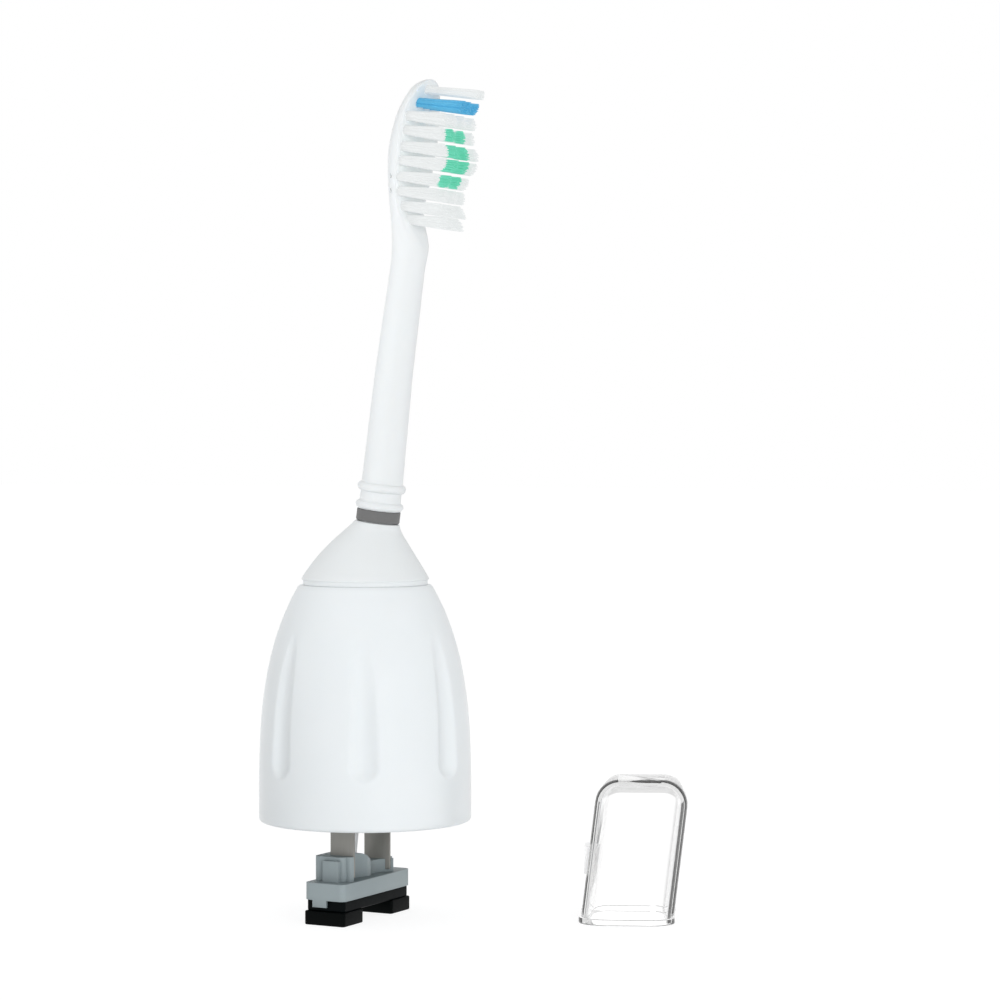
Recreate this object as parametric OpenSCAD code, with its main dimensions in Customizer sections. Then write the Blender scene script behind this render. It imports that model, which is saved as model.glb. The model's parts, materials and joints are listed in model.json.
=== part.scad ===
// Brush head for an electric toothbrush: a leaning neck with its tuft field, a soft
// boot, a fluted fixing nut, two leaf springs with the magnets that they carry, and
// a clear travel cap that stands beside it.
// Millimetres. +Z runs up the nut's axis, the origin is the centre of the nut's open
// rim and the bristles point to +X. Apart from the cap and the step in the magnet
// carrier's boss the part is symmetric about Y = 0.

/* [Nut] */
// Outer radius of the nut at its open rim
nut_r = 14.56; // [13.5:0.1:17]
// Outer radius of the nut at its top edge
nut_top_r = 9.13; // [8.9:0.05:10.5]
// Height of the nut from its open rim to its top face
nut_h = 32.3; // [29:0.1:36]
// Wall of the nut
nut_wall = 1.8; // [1.5:0.1:2]
// Thickness of the roof that the collar holds the nut by
nut_roof = 1.6; // [1.2:0.1:2]
// Radius of the threaded bore at the rim
thread_r = 12.1; // [11.4:0.05:12.4]
// Length of the threaded bore
thread_h = 9.5; // [7:0.5:12]
// Number of grip flutes around the nut
flute_n = 7; // [5:1:9]
// Width of a grip flute at the nut's surface
flute_w = 4.2; // [3:0.1:5]
// Depth of a grip flute
flute_depth = 1; // [0.4:0.05:1.1]
// Height of a flute's round lower end above the rim
flute_foot = 6.7; // [4:0.1:8]
// Height at which a flute runs out into the bell
flute_head = 26; // [22:0.5:27]

/* [Neck] */
// Lean of the neck towards the bristles, in degrees
neck_lean = 8; // [6:0.5:9]
// Depth below the nut's top at which the neck's axis crosses the nut's axis
neck_root = 5.2; // [3:0.1:6]
// Length of the neck and head, from that crossing to the tip
neck_len = 74.7; // [72:0.1:80]
// Radius of the neck where it leaves its ribs
neck_r = 2.84; // [2.75:0.01:2.98]
// Radius of the neck under the head
neck_top_r = 2.37; // [2.3:0.01:2.6]
// Radius of the journal that turns in the boot and the collar
journal_r = 2.3; // [2.1:0.05:2.4]
// Radius of the neck's lower rib
rib_low_r = 3.3; // [3.2:0.05:3.4]
// Radius of the neck's upper rib
rib_high_r = 3.35; // [3.2:0.05:3.5]
// Radius of the shank that carries the magnets
shank_r = 1.1; // [1:0.1:1.2]

/* [Head] */
// Half of the head's greatest width
head_half_w = 5.4; // [5.3:0.1:6.5]
// Thickness of the head where it is widest
head_thick = 3.4; // [3.3:0.1:5]
// Distance of the tuft face behind the neck's axis
face_back = 0.66; // [0.2:0.02:0.8]
// Length of the head from its widest place to its tip
head_tip_len = 8.6; // [8.4:0.1:10.5]
// Length over which the neck widens into the head
head_flare_len = 17.4; // [16:0.1:20]
// Length of the ramp from the neck's front down to the tuft face
face_ramp_len = 6.5; // [5:0.1:8]

/* [Tufts] */
// Height of the longest tuft above the face
tuft_h = 8.55; // [7:0.05:10]
// Radius of a tuft at its root
tuft_root_r = 0.68; // [0.5:0.02:0.7]
// Radius of a tuft at its tip, where the bristles spread
tuft_tip_r = 0.9; // [0.72:0.02:0.92]
// Depth of a tuft hole in the head
tuft_hole = 1.3; // [1:0.05:1.35]
// Length of the tuft field along the head
tuft_field = 17.7; // [17.3:0.1:18]

/* [Boot and ring] */
// Height of the boot's lip above the nut's top
boot_h = 8.6; // [7.5:0.1:10.5]
// Radius of the boot at its skirt
boot_r = 8.8; // [8.4:0.05:8.85]
// Radius of the boot at its lip
boot_lip_r = 3.1; // [3.05:0.05:3.4]
// Wall of the boot
boot_wall = 1.3; // [1.1:0.1:1.5]
// Height of the lip that hugs the journal
boot_lip_h = 1.2; // [0.8:0.1:1.6]
// Groove between the boot's skirt and the nut's top
boot_groove = 0.65; // [0.5:0.05:0.8]
// Radius of the colour ring
ring_r = 3; // [2.9:0.05:3.3]
// Height of the colour ring
ring_h = 1.6; // [1.4:0.05:2.2]

/* [Collar and springs] */
// Radius of the hub that passes through the nut's roof
hub_r = 6.6; // [6.2:0.05:6.7]
// Height of the hub above the nut's top
hub_rise = 2; // [1.6:0.1:2.2]
// Thickness of the flange under the nut's roof
flange_h = 2.2; // [1.8:0.1:2.8]
// Height of the block that clamps the springs, below the flange
clamp_h = 6.2; // [5:0.1:7]
// Thickness of a leaf spring
spring_t = 0.4; // [0.3:0.05:0.6]
// Width of a leaf spring
spring_w = 3.9; // [3.7:0.1:4.2]
// Angle of each spring from the head's middle plane, in degrees
spring_splay = 5; // [0:1:8]
// Distance of each spring's middle from the head's middle plane
spring_y = 4.7; // [4.4:0.05:4.8]
// Place of the springs' middles along X
spring_x = -0.8; // [-1:0.05:-0.6]

/* [Magnet carrier] */
// Gap from the nut's open rim down to the carrier's boss
carrier_drop = 4.4; // [3:0.1:6]
// Length of the carrier's plate along Y
plate_l = 18.2; // [17:0.1:19]
// Width of the carrier's plate along X
plate_w = 6.3; // [6.2:0.1:8]
// Thickness of the carrier's plate
plate_h = 2.3; // [2:0.1:3]
// Length of the boss along Y
boss_l = 13.6; // [13:0.1:14.4]
// Width of the boss along X
boss_w = 4.8; // [4.7:0.1:5.4]
// Height of the boss's upper step above the plate
boss_h = 3.3; // [3:0.1:4]
// Drop from the boss's upper step to its lower one
step_h = 1.5; // [0.5:0.1:1.6]
// Thickness of the back iron
iron_h = 1.5; // [1:0.1:2]
// Thickness of the magnets
magnet_h = 1.9; // [1.5:0.1:3]
// Length of each magnet along Y
magnet_l = 5.3; // [4.5:0.1:7]

/* [Travel cap] */
// Depth of the cap, from its back wall to the wall over the bristles
cap_d = 12.6; // [11:0.1:16]
// Width of the cap
cap_w = 13; // [12.4:0.1:15]
// Height of the cap
cap_h = 19.4; // [17:0.1:24]
// Wall of the cap
cap_wall = 0.8; // [0.6:0.05:1.1]
// Radius of the cap's corners
cap_corner = 3.4; // [2.6:0.1:4]
// Distance of the cap from the nut's axis
cap_reach = 36; // [34:0.5:60]
// Bearing of the cap around the nut's axis, in degrees
cap_bearing = 26; // [0:1:60]
// Turn of the cap about its own upright axis, in degrees
cap_turn = 23; // [0:1:60]

/* [Hidden] */
$fn = 72;

// Running gap between pieces that turn on each other
run_gap = 0.3;
// Fit of pieces that are pressed or clipped together
fit = 0.04;
// Overrun of every cut
over = 0.5;

// The nut's bell: its radius falls off with this power of the height
bell_power = 3.4;
bell_steps = 20;
function bell_r(z) = nut_r - (nut_r - nut_top_r) * pow(z / nut_h, bell_power);
function bell_inner_r(z) = bell_r(z) - nut_wall;
nut_hole_r = hub_r + run_gap;
thread_foot = 1.2;
thread_relief = 0.5;
rim_round = 0.5;
rim_steps = 5;

// Heights in the stack under the nut's roof
roof_z = nut_h - nut_roof;
flange_top = roof_z - run_gap;
flange_z = flange_top - flange_h;
flange_r = bell_inner_r(flange_top) - run_gap;
clamp_z = flange_z - clamp_h;
clamp_roof = 1.4;
clamp_wall = 1.6;
clamp_r = norm([spring_w, 2 * spring_y]) / 2 + clamp_wall;
clamp_top = clamp_z + clamp_h - clamp_roof;
hub_top = nut_h + hub_rise;
skirt_z = nut_h + boot_groove;

// The neck's own frame: it starts where its axis crosses the nut's axis
neck_foot = nut_h - neck_root;
lip_s = (boot_h + neck_root) / cos(neck_lean);
ring_gap = 0.12;
ring_s = lip_s + ring_gap;
rib_s = ring_s + ring_h;
rib_low_h = 1.15;
rib_groove_h = 1.3;
rib_high_h = 1.25;
neck_s = rib_s + rib_low_h + rib_groove_h + rib_high_h;
function on_axis(s) = [s * sin(neck_lean), 0, neck_foot + s * cos(neck_lean)];

module along_neck() {
    translate(on_axis(0)) rotate([0, neck_lean, 0]) children();
}

function mix(a, b, t) = a + (b - a) * t;
function clamped(t) = min(1, max(0, t));
function smooth(t) = let (u = clamped(t)) u * u * (3 - 2 * u);

// Cross sections of the neck and head, at a distance s along the neck
widest_s = neck_len - head_tip_len;
flare_s = widest_s - head_flare_len;
ramp_start_share = 0.14;
ramp_s = flare_s + ramp_start_share * head_flare_len;
face_x = -face_back;
edge_depth = 0.56;
face_crown = 0.08;
tip_power = 2.15;
function tip_share(s) =
    s < widest_s ? 1 : pow(max(0, 1 - pow((s - widest_s) / head_tip_len, tip_power)), 1 / tip_power);
function flare_share(s) = (1 - cos(180 * clamped((s - flare_s) / head_flare_len))) / 2;
function ramp_share(s) = smooth((s - ramp_s) / face_ramp_len);
function head_share(s) = smooth((s - flare_s) / (head_flare_len / 2));
function stem_r(s) = mix(neck_r, neck_top_r, clamped((s - neck_s) / (flare_s - neck_s)));
function half_w(s) = mix(stem_r(s), head_half_w, flare_share(s)) * tip_share(s);
function front_x(s) = mix(stem_r(s), face_x, ramp_share(s));
function back_x(s) =
    s < widest_s
    ? mix(-stem_r(s), face_x - head_thick, flare_share(s))
    : face_x - head_thick * tip_share(s);
function middle_x(s) = mix(0, face_x - edge_depth * tip_share(s), head_share(s));
function crown(s) = face_crown * head_share(s) * tip_share(s);
function bent(v, power) = sign(v) * pow(abs(v), 2 / power);
function section(s, a) =
    let (
        power = cos(a) > 0 ? mix(2, 4, head_share(s)) : 2,
        reach = cos(a) > 0 ? front_x(s) + crown(s) - middle_x(s) : middle_x(s) - back_x(s),
        x = middle_x(s) + reach * bent(cos(a), power),
        y = half_w(s) * bent(sin(a), power)
    )
    [min(x, front_x(s)), y, s];

section_n = 40;
flare_steps = 15;
tip_steps = 10;
tip_end_share = 0.999;
section_s = concat(
    [rib_s + rib_low_h / 2, neck_s, (neck_s + flare_s) / 2],
    [for (i = [0 : flare_steps]) flare_s + head_flare_len * i / flare_steps],
    [for (i = [1 : tip_steps]) widest_s + head_tip_len * tip_end_share * sin(90 * i / tip_steps)]
);

// Skin over a stack of rings that all have n points, with a fan at each end
module lofted(points, n) {
    last = len(points) - n;
    mean = [for (i = [0 : n - 1]) 1 / n];
    ends = [for (first = [0, last]) mean * [for (i = [0 : n - 1]) points[first + i]]];
    polyhedron(
        concat(points, ends),
        concat(
            [for (i = [0 : n - 1]) [i, (i + 1) % n, last + n]],
            [
                for (k = [0 : n : last - n], i = [0 : n - 1], half = [0, 1])
                let (a = k + i, b = k + (i + 1) % n)
                half == 0 ? [b, a, a + n] : [b + n, b, a + n]
            ],
            [for (i = [0 : n - 1]) [last + (i + 1) % n, last + i, last + n + 1]]
        )
    );
}

// Shank below the collar: it bends off the neck's axis towards the carrier's boss
shank_bend_s = -8;
shank_top = on_axis(shank_bend_s);
boss_top = -carrier_drop;
plate_top = boss_top - boss_h;
plate_z = plate_top - plate_h;
iron_z = plate_z - iron_h;
floor_z = iron_z - magnet_h;
boss_back = 1;
boss_x = spring_x - boss_back;
plate_front = 0.65;
plate_x = boss_x + plate_front;
socket_depth = 2.9;
shank_back = 1.1;
shank_foot = [boss_x - shank_back, 0, boss_top - socket_depth];
shank_lean = atan((shank_top.x - shank_foot.x) / (shank_top.z - shank_foot.z));
shank_len = norm(shank_top - shank_foot);

// Neck, head and shank: one white moulding with a blind hole for every tuft
module neck() {
    color("#F2F4F6")
    difference() {
        union() {
            along_neck() {
                lofted(
                    [for (s = section_s, i = [0 : section_n - 1]) section(s, 360 * i / section_n)],
                    section_n
                );
                translate([0, 0, shank_bend_s])
                    cylinder(r = journal_r, h = rib_s + rib_low_h / 2 - shank_bend_s);
                translate([0, 0, rib_s]) rounded_disc(rib_low_r, rib_low_h);
                translate([0, 0, neck_s - rib_high_h]) rounded_disc(rib_high_r, rib_high_h);
            }
            shank(0);
        }
        along_neck()
            for (row = [0 : tuft_rows - 1], column = [0 : len(tuft_ys(row)) - 1])
                translate([tuft_root_x(row) - tuft_hole, tuft_ys(row)[column], tuft_s(row)])
                    rotate([0, 90, 0]) cylinder(r = root_r(row), h = tuft_hole + neck_r + over);
    }
}

// The shank tapers down to the carrier's boss; grown by a fit it cuts its own socket
module shank(grown) {
    translate(shank_foot)
        rotate([0, shank_lean, 0])
            translate([0, 0, -grown])
                cylinder(
                    r1 = shank_r + grown, r2 = journal_r - run_gap + grown, h = shank_len + journal_r
                );
}

// Disc with a half round edge
module rounded_disc(r, h) {
    rotate_extrude() {
        square([r - h / 3, h]);
        translate([r - h / 2, h / 2]) circle(d = h, $fn = 32);
    }
}

// Tuft field. Each row has its place along the field, the heights of its outer and its
// inner tufts, the radii of its roots and tips, the slope of its trimmed ends (how much
// higher the side towards the head's tip is) and the places of its tufts across the head.
tuft_place_shares = [0, 0.108, 0.219, 0.331, 0.453, 0.563, 0.684, 0.793, 0.902, 1];
tuft_height_shares = [1, 0.83, 0.69, 0.69, 0.78, 0.77, 0.67, 0.68, 0.77, 0.74];
tuft_middle_height_shares = [1, 0.83, 0.69, 0.69, 0.785, 0.805, 0.7, 0.69, 0.77, 0.74];
tuft_root_shares = [0.8, 1, 1, 1, 1, 1, 1, 1, 1, 1];
tuft_tip_shares = [0.72, 0.95, 1, 1, 1, 1, 1, 1, 1, 1];
tuft_slope_shares = [0.1, 0.3, -0.2, -0.2, -0.35, 0.4, 0.4, -0.1, -0.6, -0.5];
tuft_width_shares = [
    [-0.125, 0.125],
    [-0.34, 0, 0.34],
    [-0.73, -0.25, 0.25, 0.73],
    [-0.76, -0.26, 0.26, 0.76],
    [-0.79, -0.27, 0.27, 0.79],
    [-0.79, -0.27, 0.27, 0.79],
    [-0.75, -0.26, 0.26, 0.75],
    [-0.66, -0.23, 0.23, 0.66],
    [-0.46, 0, 0.46],
    [-0.27, 0.27]
];
tuft_rows = len(tuft_place_shares);
tuft_start_share = 0.175;
tuft_inner_share = 0.4;
tuft_top_s = neck_len - head_tip_len * tuft_start_share;
blue_row = 1;
green_rows = [3, 4, 5, 6];
function tuft_s(row) = tuft_top_s - tuft_field * tuft_place_shares[row];
function tuft_ys(row) = head_half_w * tuft_width_shares[row];
function tuft_root_x(row) = front_x(tuft_s(row));
function root_r(row) = tuft_root_r * tuft_root_shares[row];
function tuft_inner(row, column) = abs(tuft_width_shares[row][column]) < tuft_inner_share;
function tuft_height(row, column) =
    tuft_h * (tuft_inner(row, column) ? tuft_middle_height_shares[row] : tuft_height_shares[row]);
function tuft_colour(row, column) =
    row == blue_row ? "#4CA3DE"
    : tuft_inner(row, column) && len(search(row, green_rows)) > 0 ? "#74D9BB"
    : "#E6E7E8";
function tuft_name(row, column) = str("tuft_", row + 1, "_", column + 1);

// Anchor strip under a tuft, pressed into the bottom of its hole
anchor_h = 0.3;
anchor_t = 0.25;
function anchor_w(row) = 1.8 * root_r(row);

// One tuft of bristles, folded over its anchor at the bottom of its hole, that spreads
// towards its tip and is trimmed at a slope
module tuft(row, column) {
    sunk = tuft_hole - anchor_h;
    tip_r = tuft_tip_r * tuft_tip_shares[row];
    slope = tuft_slope_shares[row];
    untrimmed = tuft_height(row, column) + abs(slope) * tip_r + over;
    untrimmed_r = mix(root_r(row), tip_r, untrimmed / tuft_height(row, column));
    color(tuft_colour(row, column))
    along_neck()
        translate([tuft_root_x(row), tuft_ys(row)[column], tuft_s(row)])
            difference() {
                rotate([0, 90, 0])
                    rotate_extrude($fn = 32)
                        polygon([
                            [0, -sunk],
                            [root_r(row) - fit, -sunk],
                            [root_r(row) - fit, 0],
                            [untrimmed_r, untrimmed],
                            [0, untrimmed]
                        ]);
                translate([tuft_height(row, column), 0, 0])
                    rotate([0, atan(slope), 0])
                        translate([0, -2 * tip_r, -2 * tip_r]) cube(4 * tip_r);
            }
}

module tuft_anchors() {
    color("#B9A26A")
    along_neck()
        for (row = [0 : tuft_rows - 1], column = [0 : len(tuft_ys(row)) - 1])
            translate([
                tuft_root_x(row) - tuft_hole,
                tuft_ys(row)[column] - anchor_t / 2,
                tuft_s(row) - anchor_w(row) / 2
            ])
                cube([anchor_h - fit, anchor_t, anchor_w(row)]);
}

// Dark colour ring that tells one user's head from another's
module ident_ring() {
    color("#757575")
    along_neck()
        translate([0, 0, ring_s])
            difference() {
                cylinder(r = ring_r, h = ring_h - fit);
                translate([0, 0, -over]) cylinder(r = journal_r + fit, h = ring_h + 2 * over);
            }
}

// Soft boot: circles that shrink, lean and move over to the neck's axis
boot_height_shares = [0, 0.1, 0.25, 0.4, 0.55, 0.7, 0.83, 0.93, 1];
boot_radius_shares = [1, 0.94, 0.8, 0.655, 0.49, 0.315, 0.15, 0.045, 0];
boot_skew_power = 2;
land_gap = 0.15;
land_depth = 0.55;
boot_n = 48;
boot_top = on_axis(lip_s);
function boot_ring(k, wall) =
    let (
        t = boot_height_shares[k],
        lean = neck_lean * pow(t, boot_skew_power),
        r = mix(boot_lip_r, boot_r, boot_radius_shares[k]) - wall,
        x = boot_top.x * pow(t, boot_skew_power),
        z = mix(skirt_z, boot_top.z, t)
    )
    [
        for (i = [0 : boot_n - 1])
        let (a = 360 * i / boot_n)
        [x + r * cos(a) * cos(lean), r * sin(a), z - r * cos(a) * sin(lean)]
    ];
function boot_points(wall) =
    [for (k = [0 : len(boot_height_shares) - 1]) each boot_ring(k, wall)];

module boot() {
    color("#ECF0F1")
    difference() {
        union() {
            lofted(boot_points(0), boot_n);
            // land that closes the groove, just clear of the nut
            translate([0, 0, nut_h + land_gap])
                cylinder(r = boot_r - land_depth, h = boot_groove - land_gap + over);
        }
        // seat on the collar's hub
        translate([0, 0, nut_h]) cylinder(r = hub_r + fit, h = hub_rise + fit);
        // hollow between the hub and the lip
        intersection() {
            lofted(boot_points(boot_wall), boot_n);
            translate([0, 0, hub_top - over])
                cylinder(r = boot_r, h = boot_top.z - boot_lip_h - hub_top + over);
        }
        along_neck() cylinder(r = journal_r + run_gap / 2, h = lip_s + over);
    }
}

// Nut: a hollow bell with grip flutes, held by its roof between boot and collar
module nut() {
    color("#EDF1F3")
    difference() {
        rotate([0, 0, flute_turn + 180 / flute_n]) rotate_extrude($fn = 144) nut_profile();
        for (i = [0 : flute_n - 1]) rotate([0, 0, flute_turn + 360 * i / flute_n]) flute_cutter();
    }
}

module nut_profile() {
    polygon(concat(
        [[thread_r, thread_foot], [thread_r + rim_round, 0], [nut_r - rim_round, 0]],
        [
            for (i = [1 : rim_steps])
            let (a = 90 * i / rim_steps)
            [nut_r - rim_round * (1 - sin(a)), rim_round * (1 - cos(a))]
        ],
        [for (i = [2 : bell_steps]) [bell_r(nut_h * i / bell_steps), nut_h * i / bell_steps]],
        [[nut_hole_r, nut_h], [nut_hole_r, roof_z]],
        [
            for (i = [bell_steps : -1 : 1])
            let (z = roof_z * i / bell_steps)
            if (z > thread_h + 2 * thread_relief) [bell_inner_r(z), z]
        ],
        [[thread_r + thread_relief, thread_h + thread_relief], [thread_r, thread_h]]
    ));
}

// A flute is cut by a round bar that is bent to run out into the bell at its top
flute_turn = -9;
flute_bar_r = (flute_w * flute_w / 4 + flute_depth * flute_depth) / (2 * flute_depth);
flute_sag = 0.5;
flute_a = [bell_r(flute_foot) - flute_depth + flute_bar_r, flute_foot + flute_w / 2];
flute_b = [bell_r(flute_head) + flute_bar_r, flute_head];
flute_chord = norm(flute_b - flute_a);
flute_path_r = (flute_chord * flute_chord / 4 + flute_sag * flute_sag) / (2 * flute_sag);
flute_half_arc = asin(flute_chord / (2 * flute_path_r));
flute_tilt = atan((flute_a.x - flute_b.x) / (flute_b.y - flute_a.y));

module flute_cutter() {
    middle = (flute_a + flute_b) / 2;
    translate([middle.x, 0, middle.y])
        rotate([0, -flute_tilt, 0])
            translate([flute_sag - flute_path_r, 0, 0])
                rotate([90, 0, 0]) {
                    rotate([0, 0, -flute_half_arc])
                        rotate_extrude(angle = 2 * flute_half_arc, $fn = 360)
                            translate([flute_path_r, 0]) circle(r = flute_bar_r, $fn = 48);
                    rotate([0, 0, -flute_half_arc])
                        translate([flute_path_r, 0]) sphere(r = flute_bar_r, $fn = 48);
                }
}

// Collar: the fixed member that the nut clamps to the handle. Its two keys differ in
// width, so that it enters the handle only one way round.
key_w = 2.2;
key_step = 0.5;
key_rise = 0.9;
module collar() {
    color("#D9DCDD")
    difference() {
        union() {
            translate([0, 0, flange_z]) cylinder(r = flange_r, h = flange_h);
            translate([0, 0, flange_z]) cylinder(r = hub_r, h = hub_top - flange_z);
            translate([0, 0, clamp_z]) cylinder(r = clamp_r, h = clamp_h);
            for (side = [-1, 1])
                translate([side * (clamp_r + key_rise) / 2, 0, clamp_z + clamp_h / 2])
                    cube([clamp_r + key_rise, key_w - side * key_step, clamp_h], center = true);
        }
        along_neck()
            translate([0, 0, -(nut_h - clamp_z)]) cylinder(r = journal_r + run_gap, h = 2 * nut_h);
        for (side = [-1, 1])
            leaf(side, clamp_z - over, clamp_top + fit, fit);
    }
}

// A straight blade from z = low to z = high, grown by a fit on every side
module leaf(side, low, high, grown) {
    translate([spring_x, side * spring_y, 0])
        rotate([0, 0, side * spring_splay])
            translate([-spring_w / 2 - grown, -spring_t / 2 - grown, low])
                cube([spring_w + 2 * grown, spring_t + 2 * grown, high - low]);
}

module spring(side) {
    color("#7A7A78") leaf(side, boss_top - socket_depth, clamp_top, 0);
}

// Plate with round upright corners, centred on X and Y
module rounded_plate(w, l, h, corner) {
    linear_extrude(h)
        union() {
            square([w - 2 * corner, l], center = true);
            square([w, l - 2 * corner], center = true);
            for (x = [-1, 1], y = [-1, 1])
                translate([x * (w / 2 - corner), y * (l / 2 - corner)]) circle(r = corner, $fn = 32);
        }
}

// Carrier: moulded on the springs' and the shank's lower ends, clipped over the iron
carrier_corner = 0.9;
clip_w = 2.2;
clip_drop = 0.95;
clip_t = 0.35;
clip_in = 1.35;
clip_x = plate_x - plate_w / 2 + clip_in + clip_w / 2;
post_w = 2.5;
post_t = 0.5;
post_front = 0.6;
post_x = boss_x + post_front;
post_drop = 0.5;
pocket_r = 3.4;
pocket_depth = 0.75;
pocket_y = 2.55;
mound_l = 2.6;
mound_grown = 0.5;
mound_w = 3.1;
step_l = 3;
step_n = 8;

module magnet_carrier() {
    color("#9CA8AA")
    difference() {
        union() {
            translate([plate_x, 0, plate_z]) rounded_plate(plate_w, plate_l, plate_h, carrier_corner);
            intersection() {
                boss();
                boss_outline();
            }
            for (side = [-1, 1])
                translate([clip_x, side * (plate_l / 2 - clip_t / 2), plate_z - clip_drop / 2 + fit])
                    cube([clip_w, clip_t, clip_drop + 2 * fit], center = true);
        }
        for (side = [-1, 1]) {
            leaf(side, boss_top - socket_depth - fit, boss_top + over, fit);
            // pocket in the front that keeps the wall even
            translate([boss_x + boss_w / 2 - pocket_depth + pocket_r, side * pocket_y, plate_top])
                cylinder(r = pocket_r, h = boss_h + over);
        }
        shank(fit);
    }
}

// Boss with a mound round each spring and round the shank, and a post on each end
module boss() {
    translate([boss_x, 0, plate_top]) rounded_plate(boss_w, boss_l, boss_h, carrier_corner);
    translate([plate_x - (plate_w - mound_w) / 2, 0, plate_top])
        rounded_plate(mound_w, mound_w, boss_h, carrier_corner);
    for (side = [-1, 1]) {
        translate([spring_x, side * spring_y, plate_top])
            rounded_plate(spring_w + mound_grown, mound_l, boss_h, carrier_corner);
        translate([post_x, side * boss_l / 2, plate_top + (boss_h - post_drop) / 2])
            cube([post_w, 2 * post_t, boss_h - post_drop], center = true);
    }
}

// The boss's outline from the side: it steps down along Y in an S
module boss_outline() {
    reach = boss_l / 2 + post_t + over;
    translate([boss_x - boss_w, 0, plate_top])
        rotate([90, 0, 90])
            linear_extrude(2 * boss_w)
                polygon(concat(
                    [[-reach, 0], [reach, 0], [reach, boss_h - step_h]],
                    [
                        for (i = [step_n : -1 : 0])
                        [step_l * (i / step_n - 1 / 2), boss_h - step_h * smooth(i / step_n)]
                    ],
                    [[-reach, boss_h]]
                ));
}

// Iron plate that closes the magnets' field
iron_inset = 0.4;
module back_iron() {
    color("#15181A")
    translate([plate_x, 0, iron_z])
        rounded_plate(plate_w - iron_inset, plate_l - 2 * clip_t - 2 * fit, iron_h, carrier_corner / 2);
}

// One of the two magnets, at the ends of the plate with opposite poles down
module magnet(side) {
    color("#0A0E10")
    translate([plate_x, side * (plate_l - magnet_l) / 2, floor_z])
        rounded_plate(plate_w, magnet_l, magnet_h, carrier_corner / 2);
}

// Travel cap, open at its rim, whose walls lean as the neck does
cap_lean = 7;
cap_clip_h = 3.8;
cap_clip_w = 4;
cap_clip_z = 6.3;
cap_clip_t = 0.7;
cap_clip_x = cap_clip_z * tan(cap_lean) - (cap_d + cap_clip_t) / 2;
cap_rim_h = 0.8;
cap_rim_t = 0.25;

module cap_block(w, d, h, corner) {
    hull() {
        for (x = [-1, 1], y = [-1, 1]) {
            translate([x * (d / 2 - corner), y * (w / 2 - corner), 0])
                cylinder(r = corner, h = cap_wall / 10, $fn = 32);
            translate([x * (d / 2 - corner) + (h - corner) * tan(cap_lean), y * (w / 2 - corner), h - corner])
                sphere(r = corner, $fn = 32);
        }
    }
}

module cap() {
    color("#E9EEF0", 0.35)
    translate([cap_reach * cos(cap_bearing), cap_reach * sin(cap_bearing), floor_z])
        rotate([0, 0, cap_turn]) {
            difference() {
                union() {
                    cap_block(cap_w, cap_d, cap_h, cap_corner);
                    rounded_plate(cap_d + 2 * cap_rim_t, cap_w + 2 * cap_rim_t, cap_rim_h, cap_corner);
                    translate([cap_clip_x, -cap_clip_w / 2, cap_clip_z])
                        cube([cap_clip_t + cap_wall, cap_clip_w, cap_clip_h]);
                }
                translate([-cap_wall * tan(cap_lean), 0, -cap_wall])
                    cap_block(cap_w - 2 * cap_wall, cap_d - 2 * cap_wall, cap_h, cap_corner - cap_wall);
            }
        }
}

neck();
tuft_anchors();
ident_ring();
boot();
collar();
nut();
spring(-1);  // spring_left
spring(1);  // spring_right
magnet_carrier();
back_iron();
magnet(-1);  // magnet_left
magnet(1);  // magnet_right
cap();
for (row = [0 : tuft_rows - 1], column = [0 : len(tuft_ys(row)) - 1])
    tuft(row, column);
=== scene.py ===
import json
import math
import random

import bmesh
import bpy
from mathutils import Matrix, Vector


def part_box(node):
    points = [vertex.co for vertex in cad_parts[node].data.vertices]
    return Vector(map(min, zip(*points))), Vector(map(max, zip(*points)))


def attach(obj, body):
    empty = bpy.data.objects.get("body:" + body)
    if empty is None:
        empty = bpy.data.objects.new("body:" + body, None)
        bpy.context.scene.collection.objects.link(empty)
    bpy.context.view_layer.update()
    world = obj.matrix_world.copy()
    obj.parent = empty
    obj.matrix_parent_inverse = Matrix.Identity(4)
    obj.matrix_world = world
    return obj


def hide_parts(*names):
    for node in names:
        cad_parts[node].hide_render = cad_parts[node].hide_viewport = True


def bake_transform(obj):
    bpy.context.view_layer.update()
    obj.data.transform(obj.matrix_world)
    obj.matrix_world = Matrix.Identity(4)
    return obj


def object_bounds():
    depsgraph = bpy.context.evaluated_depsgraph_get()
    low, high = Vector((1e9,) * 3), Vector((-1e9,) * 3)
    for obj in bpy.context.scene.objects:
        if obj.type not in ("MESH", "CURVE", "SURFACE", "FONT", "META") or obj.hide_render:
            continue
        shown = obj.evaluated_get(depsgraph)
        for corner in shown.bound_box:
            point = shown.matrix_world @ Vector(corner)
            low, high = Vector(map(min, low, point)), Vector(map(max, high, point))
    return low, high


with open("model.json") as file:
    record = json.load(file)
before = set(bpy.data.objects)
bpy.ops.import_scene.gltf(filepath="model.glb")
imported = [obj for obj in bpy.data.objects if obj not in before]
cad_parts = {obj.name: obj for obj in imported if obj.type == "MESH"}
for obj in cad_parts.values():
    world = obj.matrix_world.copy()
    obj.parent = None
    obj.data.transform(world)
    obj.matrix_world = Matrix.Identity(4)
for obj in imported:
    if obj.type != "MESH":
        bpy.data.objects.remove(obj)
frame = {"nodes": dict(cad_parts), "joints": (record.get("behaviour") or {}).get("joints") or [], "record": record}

cad_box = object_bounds()
mm = 0.001

# The view. The brush head stands upright, its bristles to the right, and the camera
# looks at it level from half its height, so that the nut's axis falls left of the middle.
image_px = 1000
px_per_mm = 7.28
axis_px = 365.3
rim_px = 819.6
horizon_px = 450
camera_azimuth = math.radians(27.65)
camera_far = 400 * mm
sensor = 36

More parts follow.
